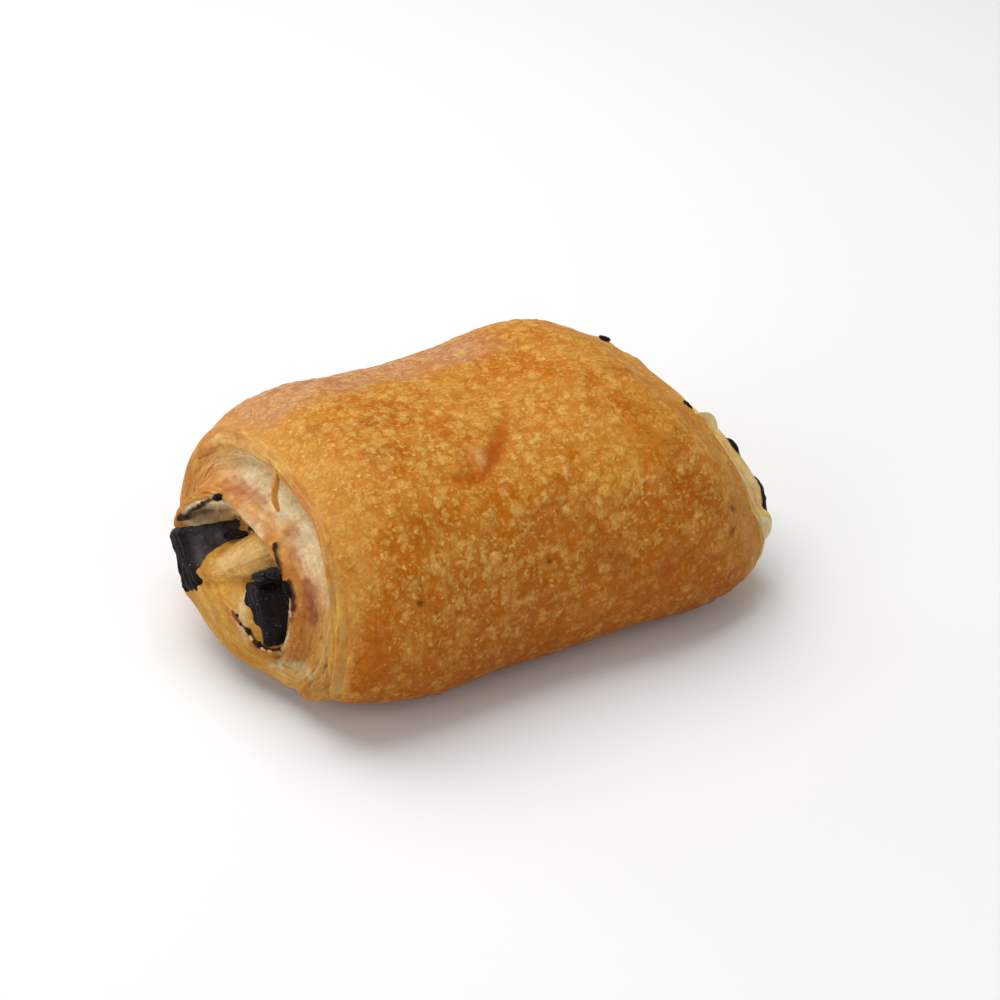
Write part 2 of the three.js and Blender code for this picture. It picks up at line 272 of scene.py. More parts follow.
# Marks on the crust: sRGB colour, strength, half width, depth, and the places that each runs through
CREASE_FOOT = ((-6.3, -17.1, 38.9), (-10.9, -21.4, 37.6), (-13.7, -21.6, 37.4), (-16.4, -20.6, 37.8))
CRUST_MARKS = (
    ((180, 92, 4), 1, 0.9, 0.25, ((2.6, -7.8, 41.2), (-0.4, -11.6, 40.3), (-3, -14.2, 39.7))),
    ((174, 86, 2), 1, 2.1, 0.45, ((-2.2, -13.6, 40), (-4.5, -15.8, 39.3), (-6.8, -17.8, 38.7))),
    ((166, 78, 2), 1, 1.3, 0.35, CREASE_FOOT),
    ((174, 86, 4), 0.9, 0.7, 0.3, ((-11.4, -16.2, 39.8), (-12.3, -19.2, 38.6), (-12.8, -21.2, 37.6))),
    ((236, 196, 140), 0.35, 1, -0.12, ((-9.2, -17, 39.4), (-10.2, -19.2, 38.6))),
    ((188, 98, 6), 0.6, 3, 0, ((28, -14.6, 36.6), (30.5, -19.5, 34.8))),
    ((186, 98, 8), 0.5, 2.4, 0, ((12, -8, 41.6), (15.5, -10.5, 41.2))),
    ((184, 94, 6), 0.5, 2.6, 0, ((17, -22, 37.6), (21, -25, 35.8))),
    ((146, 66, 30), 0.5, 2.6, 0, ((18.6, -34.6, 20.5), (17, -34.8, 17.8))),
    ((150, 72, 30), 0.4, 2.2, 0, ((7, -33.2, 23.6), (8.4, -33.6, 21.6))),
    ((172, 86, 14), 0.7, 2, 0, ((-37.4, -32.4, 24), (-38, -33, 15.5))),
    ((60, 26, 16), 0.9, 0.5, 0.15, ((-29.9, -32.8, 25.4), (-29.4, -32.9, 25.2))),
    ((70, 30, 16), 0.9, 0.45, 0.15, ((-5, -32.1, 24.7), (-4.6, -32.1, 24.6))),
    ((24, 10, 6), 1, 0.6, 0.2, ((32.7, -31.9, 23.3), (32.9, -31.9, 22.8))),
    ((50, 22, 8), 1, 0.5, 0.2, ((30.6, -33.4, 18.2), (32.4, -33.4, 19.8))),
    ((96, 44, 14), 0.8, 0.5, 0.15, ((26.1, -8.2, 41.3), (26.6, -8.6, 41.3))),
)

# Camera of the picture, in the frame, in metres
CAMERA_AT = (-0.18458, -0.30675, 0.23198)
CAMERA_TARGET = (0.00073, 0.0, 0.018)
CAMERA_LENS = 85.0
CAMERA_SENSOR = 36.0
CAMERA_SHIFT = (0.0221, 0.0017)

# Soft lights: name, place, what each faces, size, share of the key light's power, and tint
PASTRY_MIDDLE = (0, 0, 0.02)
LIGHTS = (
    ("overhead", (-0.05, 0.22, 0.65), PASTRY_MIDDLE, 0.7, 1, (1, 1, 1)),
    ("left fill", (-0.7, -0.15, 0.35), PASTRY_MIDDLE, 0.5, 0.35, (1, 1, 1)),
    ("front fill", (0.2, -0.8, 0.5), PASTRY_MIDDLE, 0.6, 0.3, (1, 1, 1)),
    ("back", (-0.35, 0.75, 0.22), (-0.02, 0, 0.03), 0.5, 0.35, (1, 0.95, 0.93)),
)
ROOM_LIGHT = 0.3
FLOOR_SIZE = 3.0


def srgb(red, green, blue):
    """A screen colour of 0 to 255 as the linear values that materials use."""
    share = np.array((red, green, blue), float) / 255
    return np.where(share <= 0.04045, share / 12.92, ((share + 0.055) / 1.055) ** 2.4)


# Screen colours of the baked dough and the chocolate, and of the sheen and glints painted on them
GOLD = srgb(200, 136, 46)
BROWN = srgb(174, 98, 12)
UMBER = srgb(140, 74, 16)
BLISTER = srgb(220, 169, 84)
RIM_GOLD = srgb(203, 147, 68)
LEAF_BROWN = srgb(186, 116, 38)
CREAM = srgb(238, 218, 176)
LEAF_CREAM = srgb(234, 190, 112)
GLAZE_DEEP = srgb(180, 92, 2)
AMBER = srgb(190, 104, 8)
SHEEN_PINK = srgb(188, 144, 114)
PAINTED_SHEEN_VIOLET = srgb(112, 104, 110)
PAINTED_GLINT_GREY = srgb(150, 140, 150)
FAR_YELLOW = srgb(232, 198, 122)
FAR_GREY = srgb(224, 208, 162)
GLINT = srgb(250, 214, 178)
SLOT_GREY = srgb(206, 190, 150)
RIDGE_ORANGE = srgb(194, 124, 46)
DOUGH_YELLOW = srgb(208, 154, 60)
TONGUE_GOLD = srgb(214, 164, 86)
CRUMB_CREAM = srgb(230, 192, 152)
CHOCOLATE = srgb(19, 14, 16)
STICK_BASE = srgb(30, 24, 28)


def length_property(name, description, default, least=0):
    """A length that a user can change, given in millimetres."""
    return bpy.props.FloatProperty(
        name=name, description=description, default=default * MM, min=least * MM, unit="LENGTH"
    )


def colour_property(name, description, colour):
    """A colour that a user can change."""
    return bpy.props.FloatVectorProperty(
        name=name, description=description, subtype="COLOR", size=3, min=0, max=1, default=tuple(colour)
    )


class ShapeSizes(bpy.types.PropertyGroup):
    """Sizes of the relief on the dough."""

    undulation: length_property("Undulation", "Height of the broad waves of the crust", 0.45)
    blister_height: length_property("Blister height", "How far the blisters of the egg wash stand out", 0.16)
    blister_count: bpy.props.IntProperty(
        name="Blisters", description="Number of blisters on the crust", default=3000, min=0
    )
    leaf_pitch: length_property("Leaf pitch", "Distance between dough leaves on a cut edge", 0.95, 0.1)
    leaf_depth: length_property("Leaf depth", "Depth of the grooves between the dough leaves", 0.22)


class FinishColours(bpy.types.PropertyGroup):
    """Colours of the finishes."""

    gold: colour_property("Gold", "Lightest parts of the crust", GOLD)
    brown: colour_property("Brown", "Well baked parts of the crust", BROWN)
    blister: colour_property("Blister", "Tops of the blisters", BLISTER)
    cream: colour_property("Cream", "Dough that hardly browned", CREAM)
    chocolate: colour_property("Chocolate", "Broken and baked dark chocolate", CHOCOLATE)


class StageLook(bpy.types.PropertyGroup):
    """Floor and light."""

    floor: colour_property("Floor", "Colour of the floor", (0.9, 0.9, 0.9))
    key_power: bpy.props.FloatProperty(
        name="Key light", description="Power of the soft light overhead", default=4.2, min=0, unit="POWER"
    )


# Rings, curves and noise


def smoothstep(low, high, value):
    """0 below low and 1 above high, with a smooth change between."""
    share = np.clip((value - low) / (high - low), 0, 1)
    return share * share * (3 - 2 * share)


def mix(first, second, share):
    """Colours or places between two, by a share for each point."""
    share = np.asarray(share)[..., None]
    return first * (1 - share) + second * share


def noise(points, size, seed, stretch=(1, 1, 1)):
    """Smooth noise from -1 to 1, with features of about this size in millimetres."""
    table = np.random.default_rng(seed).uniform(-1, 1, (32, 32, 32))
    scaled = points / (size * np.array(stretch))
    cell = np.floor(scaled).astype(int)
    inside = scaled - cell
    inside = inside * inside * (3 - 2 * inside)
    total = np.zeros(points.shape[:-1])
    for corner in itertools.product((0, 1), repeat=3):
        weight = np.prod(np.where(corner, inside, 1 - inside), axis=-1)
        x, y, z = np.moveaxis((cell + corner) % 32, -1, 0)
        total += weight * table[x, y, z]
    return total


def rounded(angle, exponent):
    """A superellipse's point: share of the half width and of the half height at an angle."""
    across, rise = np.cos(angle), np.sin(angle)
    return (
        np.sign(across) * np.abs(across) ** (2 / exponent),
        np.sign(rise) * np.abs(rise) ** (2 / exponent),
    )


def through_stations(values, u):
    """The one smooth curve through evenly spaced stations, u from -1 to 1."""
    at = np.linspace(-1, 1, len(values))
    return np.polyval(np.polyfit(at, values, len(values) - 1), u)


def curve_points(through, count):
    """Places along the smooth curve through a few places."""
    known = np.array(through, float)
    padded = np.vstack([2 * known[0] - known[1], known, 2 * known[-1] - known[-2]])
    at = np.linspace(0, len(known) - 1, count)
    step = np.minimum(at.astype(int), len(known) - 2)
    t = (at - step)[:, None]
    a, b, c, d = (padded[step + k] for k in range(4))
    return 0.5 * (2 * b + (c - a) * t + (2 * a - 5 * b + 4 * c - d) * t**2 + (3 * b - a - 3 * c + d) * t**3)


def distance_to_line(points, through, flatten=(1, 1, 1)):
    """Distance from each point to the curve through a few places, and the share of its length there."""
    line = curve_points(through, 8 * len(through))
    scale = np.array(flatten, float)
    start = line[:-1] * scale
    step = line[1:] * scale - start
    nearest = np.full(points.shape[:-1], 1e9)
    along = np.zeros(points.shape[:-1])
    for k, (origin, run) in enumerate(zip(start, step)):
        offset = points * scale - origin
        t = np.clip(offset @ run / (run @ run), 0, 1)
        gap = np.linalg.norm(offset - t[..., None] * run, axis=-1)
        closer = gap < nearest
        nearest = np.where(closer, gap, nearest)
        along = np.where(closer, (k + t) / len(step), along)
    return nearest, along


def rim_x(end, z):
    """Where an end's rim lies along X at a height."""
    top = end["setback"] * (np.maximum(z, 0) / end["height"]) ** SETBACK_CURVE
    foot = end["tuck"] * np.maximum(0, 1 - z / TUCK_HEIGHT) ** 2
    return end["side"] * (HALF_LENGTH - top - foot) + MIDDLE_X


def crust_points(u, angle):
    """Points of the crust at shares of the half length and angles round the roll."""
    drawn_in = 1 - SHOULDER * np.abs(u) ** SHOULDER_CURVE
    half_width = drawn_in * through_stations(HALF_WIDTHS, u)
    height = drawn_in * through_stations(HEIGHTS, u)
    past = np.maximum(0, np.abs(u) - FLAT_SHARE) / (1 - FLAT_SHARE)
    lift = np.where(u < 0, NEAR["lift"], FAR["lift"]) * past**2
    waist = WAIST * height
    upper = np.sin(angle) >= 0
    across, rise = rounded(angle, np.where(upper, UPPER_ROUNDNESS, LOWER_ROUNDNESS))
    reach = np.where(upper, height - waist, (waist - lift) * BELLY)
    z = np.maximum(waist + reach * rise, lift)
    near_x = rim_x(NEAR, z)
    x = near_x + (rim_x(FAR, z) - near_x) * (u + 1) / 2
    return np.stack(np.broadcast_arrays(x, -half_width * across, z), -1)


def even_angles(count, floor_share):
    """Angles whose points are evenly spaced round the roll, and sparser where it rests."""
    fine = np.linspace(0, 2 * math.pi, 4001)
    ring = crust_points(np.zeros(1), fine)
    step = np.linalg.norm(np.diff(ring, axis=0), axis=1)
    step *= np.where(ring[1:, 2] < 1.0, floor_share, 1.0)
    length = np.concatenate([[0], np.cumsum(step)])
    return np.interp(np.arange(count) / count * length[-1], length, fine)


def edge_rings(end, shares, reaches, angle):
    """Rings inside the rim: the rim drawn in towards its middle by shares, and moved outwards by reaches."""
    middle = crust_points(np.full(1, end["side"]), np.arange(64) * 2 * math.pi / 64).mean(0)
    rim = crust_points(np.full(1, end["side"]), angle)
    points = middle + shares[..., None] * (rim - middle)
    lean = 1 - end["edge_lean"] * points[..., 1] / HALF_WIDTHS[0]
    reaches = np.where(reaches > 0, end["lip"] * reaches, reaches)
    points[..., 0] = rim_x(end, points[..., 2]) + end["side"] * reaches * lean
    points[..., 2] += TOE * np.maximum(0, reaches) * np.maximum(0, 1 - points[..., 2] / TUCK_HEIGHT)
    return points


def refined(profile, spacing, unit):
    """A profile of shares and reaches with points at an even spacing; a share of 1 is unit millimetres."""
    known = np.array(profile, float)
    step = np.diff(known, axis=0) * (unit, 1)
    length = np.concatenate([[0], np.cumsum(np.linalg.norm(step, axis=1))])
    at = np.linspace(0, length[-1], max(2, round(length[-1] / spacing)))
    fine = np.stack([np.interp(at, length, known[:, k]) for k in (0, 1)], -1)
    smooth = fine.copy()
    smooth[2:-2] = (fine[:-4] + 2 * fine[1:-3] + 3 * fine[2:-2] + 2 * fine[3:-1] + fine[4:]) / 9
    return smooth


# Surfaces of rings


class Skin:
    """A closed surface of rings, in millimetres. Its finish reads the tint, the gloss and the grain."""

    def __init__(self, points, colour):
        self.points = points
        self.tint = np.broadcast_to(colour, points.shape).copy()
        self.gloss = np.zeros(points.shape[:2])
        self.grain = np.zeros(points.shape[:2])
        outward = self.raw_normals() * (points - points.mean(1, keepdims=True))
        self.sign = 1 if outward.sum() > 0 else -1

    def raw_normals(self):
        """Unit normals, which may all point inwards."""
        around = np.roll(self.points, -1, 1) - np.roll(self.points, 1, 1)
        along = np.gradient(self.points, axis=0)
        normal = np.cross(around, along)
        return normal / np.maximum(np.linalg.norm(normal, axis=-1, keepdims=True), 1e-9)

    def push(self, height):
        """Moves each point out of the surface by a height."""
        self.points = self.points + self.sign * self.raw_normals() * height[..., None]

    def paint(self, colour, share):
        """Mixes a colour in, by a share for each point."""
        self.tint = mix(self.tint, colour, np.clip(share, 0, 1))

    def build(self, name, material, slot):
        """Makes the mesh object, closed at a pole at each end, and ties it to the frame."""
        rows, around = self.points.shape[:2]
        poles = self.points[0].mean(0), self.points[-1].mean(0)
        points = np.vstack([self.points.reshape(-1, 3), *poles])
        here = np.arange(rows * around).reshape(rows, around)
        there = np.roll(here, -1, 1)
        quads = np.stack([here[:-1], there[:-1], there[1:], here[1:]], -1).reshape(-1, 4)
        first = np.stack([np.full(around, rows * around), there[0], here[0]], -1)
        last = np.stack([np.full(around, rows * around + 1), here[-1], there[-1]], -1)
        faces = quads.tolist() + first.tolist() + last.tolist()
        if self.sign < 0:
            faces = [face[::-1] for face in faces]
        mesh = bpy.data.meshes.new(name)
        mesh.from_pydata((points * MM).tolist(), [], faces)
        mesh.validate()
        shades = {"tint": self.tint.reshape(-1, 3), "gloss": self.gloss.ravel(), "grain": self.grain.ravel()}
        for title, values in shades.items():
            ends = [values[:around].mean(0), values[-around:].mean(0)]
            values = np.concatenate([values, ends])
            if title == "tint":
                layer = mesh.attributes.new(title, "FLOAT_COLOR", "POINT")
                values = np.column_stack([values, np.ones(len(values))])
                layer.data.foreach_set("color", values.astype(np.float32).ravel())
            else:
                layer = mesh.attributes.new(title, "FLOAT", "POINT")
                layer.data.foreach_set("value", values.astype(np.float32))
        piece = bpy.data.objects.new(name, mesh)
        bpy.context.scene.collection.objects.link(piece)
        mesh.materials.append(material)
        mesh.shade_smooth()
        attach(piece, BODY)
        return piece


def leaf_grooves(position, pitch, wobble):
    """Rounded leaves of dough side by side: 1 on a leaf's crest, 0 in the groove; and each leaf's number."""
    phase = position / pitch + wobble
    number = np.floor(phase)
    inside = phase - number
    return 1 - np.abs(2 * inside - 1) ** 2.5, number


def leaf_shade(number, seed):
    """A random shade from 0 to 1 for each leaf."""
    table = np.random.default_rng(seed).uniform(0, 1, 64)
    return table[number.astype(int) % 64]


def scatter_blisters(points, count, seed):
    """Blisters on the surface: 1 on a blister's flat top, falling to 0 at its edge, and its shade."""
    rng = np.random.default_rng(seed)
    flat = points.reshape(-1, 3)
    warp = np.stack([noise(flat, 1.5, seed + k) for k in (1, 2, 3)], -1)
    tree = KDTree(len(flat))
    for index, place in enumerate(flat + 0.45 * warp):
        tree.insert(place, index)
    tree.balance()
    field = np.zeros(len(flat))
    shade = np.zeros(len(flat))
    chosen = rng.integers(0, len(flat), count)
    sizes = rng.uniform(0.45, 1.0, count) ** 1.5
    depths = rng.uniform(0.25, 1.0, count)
    for index, size, depth in zip(chosen, sizes, depths):
        centre = flat[index]
        coarse = smoothstep(-34, -6, centre[0])
        radius = (0.75 + 1.25 * coarse) * size
        for _, hit, gap in tree.find_range(centre, radius):
            rise = min(1.0, 2.2 * (1 - gap / radius)) * depth
            if rise > field[hit]:
                field[hit] = rise
                shade[hit] = depth
    return field.reshape(points.shape[:2]), shade.reshape(points.shape[:2])


# Finishes


class Nodes:
    """Makes the nodes of one tree. What a node reads is a number, a colour or another node's output."""

    def __init__(self, tree):
        self.tree = tree

    def connect(self, socket, value):
        """Links or sets one input."""
        if isinstance(value, bpy.types.NodeSocket):
            self.tree.links.new(value, socket)
        else:
            socket.default_value = value

    def feed(self, node, **values):
        """Links or sets a node's inputs by their names, with _ for a space."""
        for name, value in values.items():
            self.connect(node.inputs[name.replace("_", " ")], value)
        return node

    def add(self, kind, settings=(), **values):
        """A node with its settings and inputs, placed in columns of four."""
        node = self.tree.nodes.new("ShaderNode" + kind)
        made = len(self.tree.nodes)
        node.location = (made // 4 * 220 - 1900, made % 4 * -280)
        for name, value in dict(settings).items():
            setattr(node, name, value)
        return self.feed(node, **values)

    def place(self):
        """Object coordinates."""
        return self.add("TexCoord").outputs["Object"]

    def read(self, attribute, output="Fac"):
        """A value that the piece's mesh carries."""
        return self.add("Attribute", {"attribute_name": attribute}).outputs[output]

    def cloud(self, place, scale, detail, roughness=0.5):
        """Noise with this many features to the metre: its Fac and its Color."""
        return self.add("TexNoise", Vector=place, Scale=scale, Detail=detail, Roughness=roughness).outputs

    def math(self, operation, *values, kind="Math", clamp=False):
        """A sum in one node."""
        node = self.add(kind, {"operation": operation})
        if clamp:
            node.use_clamp = True
        for socket, value in zip(node.inputs, values):
            self.connect(socket, value)
        return node.outputs[0]

    def times(self, first, second):
        """The product of two values."""
        return self.math("MULTIPLY", first, second)

    def plus(self, first, second):
        """The sum of two values."""
        return self.math("ADD", first, second)

    def minus(self, first, second):
        """The difference of two values."""
        return self.math("SUBTRACT", first, second)

    def remap(self, value, low, high, to_low=0, to_high=1, curve="LINEAR"):
        """A value from one range in another."""
        ranges = {"From_Min": low, "From_Max": high, "To_Min": to_low, "To_Max": to_high}
        return self.add("MapRange", {"interpolation_type": curve}, Value=value, **ranges).outputs["Result"]

    def blend(self, share, first, second):
        """A colour between two."""
        node = self.add("Mix", {"data_type": "RGBA"}, Factor=share, A=first, B=second)
        return node.outputs["Result"]

    def ramp(self, value, *stops):
        """A colour ramp of two stops."""
        node = self.add("ValToRGB", Fac=value)
        for element, (position, colour) in zip(node.color_ramp.elements, stops):
            element.position = position
            element.color = (*colour, 1)
        return node.outputs["Color"]

    def bump(self, height, strength, distance):
        """The normal of a fine relief."""
        return self.add("Bump", Height=height, Strength=strength, Distance=distance).outputs["Normal"]

    def cells(self, place, scale, chosen, edge=0.7, core=0.2):
        """Rounded cells of one size: how far a point lies up a cell's dome, for a chosen share of them."""
        cells = self.add("TexVoronoi", Vector=place, Scale=scale).outputs
        dome = self.remap(cells["Distance"], edge, core, curve="SMOOTHSTEP")
        return self.times(dome, self.remap(cells["Color"], 1 - chosen - 0.2, 1 - chosen + 0.4))


def new_group(name, inputs, outputs):
    """A node group: its maker, what it is given and what it gives."""
    group = bpy.data.node_groups.new(name, "ShaderNodeTree")
    for direction, sockets in (("INPUT", inputs), ("OUTPUT", outputs)):
        for title, kind in sockets.items():
            group.interface.new_socket(title, in_out=direction, socket_type="NodeSocket" + kind)
    source = group.nodes.new("NodeGroupInput")
    source.location = (-2100, 0)
    out = group.nodes.new("NodeGroupOutput")
    out.location = (1400, 0)
    return Nodes(group), source.outputs, out


def new_material(name):
    """A material: its node maker and its shader."""
    material = bpy.data.materials.new(name)
    material.use_nodes = True
    return Nodes(material.node_tree), material.node_tree.nodes["Principled BSDF"]


def baked_grain_group():
    """Mottling, fine bubbles and grain of baked dough."""
    inputs = {"Tint": "Color", "Mottle": "Float", "Grain": "Float", "Gloss": "Float"}
    outputs = {"Color": "Color", "Roughness": "Float", "Height": "Float"}
    nodes, given, result = new_group("Baked grain", inputs, outputs)
    place = nodes.place()
    swing = nodes.minus(nodes.cloud(place, scale=420, detail=3, roughness=0.6)["Fac"], 0.5)
    grit = nodes.minus(nodes.cloud(place, scale=1900, detail=3, roughness=0.65)["Fac"], 0.5)
    bubbles = nodes.add("TexVoronoi", Vector=place, Scale=1150).outputs["Distance"]
    dimple = nodes.times(nodes.remap(bubbles, 0.55, 0.1), given["Mottle"])
    speck = nodes.times(grit, given["Grain"])
    shade = nodes.times(nodes.times(swing, given["Mottle"]), 2.2)
    shade = nodes.plus(nodes.plus(shade, speck), nodes.times(dimple, 0.5))
    speckled = nodes.add("HueSaturation", Color=given["Tint"], Value=nodes.plus(shade, 0.94))
    rough = nodes.math("MULTIPLY_ADD", given["Gloss"], -0.28, 0.72)
    nodes.feed(
        result,
        Color=speckled.outputs["Color"],
        Roughness=nodes.math("MULTIPLY_ADD", grit, 0.3, rough),
        Height=nodes.plus(speck, dimple),
    )
    return nodes.tree


def glaze_group():
    """Egg wash that rose in blisters of two sizes: pale tops, deep orange between them, painted glints, and
    a shine.
    """
    inputs = {"Tint": "Color", "Pale": "Color", "Deep": "Color", "Blister": "Float", "Bubble": "Float"}
    outputs = {"Color": "Color", "Roughness": "Float", "Shine": "Float", "Height": "Float"}
    nodes, given, result = new_group("Blistered glaze", inputs, outputs)
    place = nodes.place()
    bend = nodes.cloud(place, scale=650, detail=2)["Color"]
    warped = nodes.math("MULTIPLY_ADD", bend, (0.0024, 0.0024, 0.0024), place, kind="VectorMath")
    large = nodes.times(nodes.cells(warped, scale=470, chosen=0.6), given["Blister"])
    small = nodes.times(nodes.cells(warped, scale=1100, chosen=0.5), given["Bubble"])
    swing = nodes.minus(nodes.cloud(place, scale=1500, detail=3, roughness=0.65)["Fac"], 0.5)
    patchy = nodes.math("MULTIPLY_ADD", swing, 2, 0.74)
    cover = nodes.times(nodes.math("MAXIMUM", large, small), patchy)
    gap = nodes.minus(nodes.minus(0.5, small), large)
    deep_share = nodes.math("MULTIPLY", gap, given["Blister"], clamp=True)
    # Painted highlight: small pale glints mixed into the colour
    glint = nodes.times(nodes.cells(place, scale=900, chosen=0.3, edge=0.26, core=0.1), 0.3)
    colour = nodes.blend(deep_share, given["Tint"], given["Deep"])
    colour = nodes.blend(cover, colour, given["Pale"])
    colour = nodes.blend(glint, colour, (*GLINT, 1))
    cracks = nodes.add("TexVoronoi", {"feature": "DISTANCE_TO_EDGE"}, Vector=warped, Scale=560).outputs
    crack = nodes.remap(cracks["Distance"], 0, 0.12, 0.9)
    value = nodes.times(nodes.math("MULTIPLY_ADD", swing, 0.7, 1.02), crack)
    speckled = nodes.add("HueSaturation", Color=colour, Value=value)
    nodes.feed(
        result,
        Color=speckled.outputs["Color"],
        Roughness=nodes.math("MULTIPLY_ADD", swing, 0.5, 0.58),
        Shine=nodes.math("MULTIPLY_ADD", cover, 0.18, 0.02),
        Height=nodes.plus(nodes.plus(nodes.times(small, 0.4), large), nodes.times(swing, 0.7)),
    )
    return nodes.tree


def make_crust_material(pale):
    """Egg-washed crust: the piece's attributes say its tint, and how thick its blisters and bubbles lie."""
    nodes, shader = new_material("Egg-washed crust")
    glaze = nodes.add(
        "Group",
        {"node_tree": glaze_group()},
        Tint=nodes.read("tint", "Color"),
        Blister=nodes.read("gloss"),
        Bubble=nodes.read("grain"),
        Pale=(*pale, 1),
        Deep=(*GLAZE_DEEP, 1),
    ).outputs
    nodes.feed(
        shader,
        Base_Color=glaze["Color"],
        Roughness=glaze["Roughness"],
        Normal=nodes.bump(glaze["Height"], 1, 0.22 * MM),
        Specular_IOR_Level=0.06,
        Coat_Weight=glaze["Shine"],
        Coat_Roughness=0.2,
        Coat_IOR=1.45,
    )


def make_dough_material():
    """Baked dough: its tint, gloss and grain come from the piece's own attributes."""
    nodes, shader = new_material("Cut dough")
    gloss = nodes.read("gloss")
    baked = nodes.add(
        "Group",
        {"node_tree": baked_grain_group()},
        Tint=nodes.read("tint", "Color"),
        Grain=nodes.read("grain"),
        Gloss=gloss,
        Mottle=0.24,
    ).outputs
    nodes.feed(
        shader,
        Base_Color=baked["Color"],
        Roughness=baked["Roughness"],
        Normal=nodes.bump(baked["Height"], 0.9, 0.16 * MM),
        Specular_IOR_Level=0.15,
        Coat_Weight=gloss,
        Coat_Roughness=0.28,
        Coat_IOR=1.4,
    )


def make_chocolate_material(colour):
    """Dark chocolate: near black, satin, with fine grit, painted glints, and a painted violet-grey sheen
    where the piece's gloss says so.
    """
    nodes, shader = new_material("Dark chocolate")
    base = np.array(colour)
    place = nodes.place()
    cloud = nodes.cloud(place, scale=260, detail=4)["Fac"]
    grit = nodes.cloud(place, scale=2600, detail=2)["Fac"]
    shade = nodes.ramp(cloud, (0.35, 0.5 * base), (0.75, 2.0 * base))
    # Painted sheen: violet-grey mixed in where the piece's gloss attribute says
    shade = nodes.blend(nodes.times(cloud, nodes.read("gloss")), shade, (*PAINTED_SHEEN_VIOLET, 1))
    # Painted highlight: tiny pale grey glints where the fine grit peaks
    shade = nodes.blend(nodes.remap(grit, 0.66, 0.74, 0, 0.5), shade, (*PAINTED_GLINT_GREY, 1))
    nodes.feed(
        shader,
        Base_Color=shade,
        Roughness=nodes.remap(cloud, 0, 1, 0.36, 0.7),
        Normal=nodes.bump(grit, 1, 0.18 * MM),
        Specular_IOR_Level=0.12,
    )


def make_floor_material(colour):
    """Matte pale floor with the faintest unevenness."""
    nodes, shader = new_material("Pale floor")
    base = np.array(colour)
    shade = nodes.ramp(nodes.cloud(nodes.place(), scale=3, detail=1)["Fac"], (0, 0.98 * base), (1, base))
    nodes.feed(shader, Base_Color=shade, Roughness=0.9, Specular_IOR_Level=0.1)


def finish_of(name):
    """A material that the finishes step made."""
    material = bpy.data.materials.get(name)
    if material is None:
        raise RuntimeError(f"the finish {name} isn't made yet")
    return material


# Pieces


class PASTRY_OT_finishes(bpy.types.Operator):
    """Make the shared finishes"""

    bl_idname = "pastry.finishes"
    bl_label = "Finishes"

    def execute(self, context):
        colours = context.scene.pastry_colours
        make_crust_material(colours.blister)
        make_dough_material()
        make_chocolate_material(colours.chocolate)
        make_floor_material(context.scene.pastry_stage.floor)
        return {"FINISHED"}


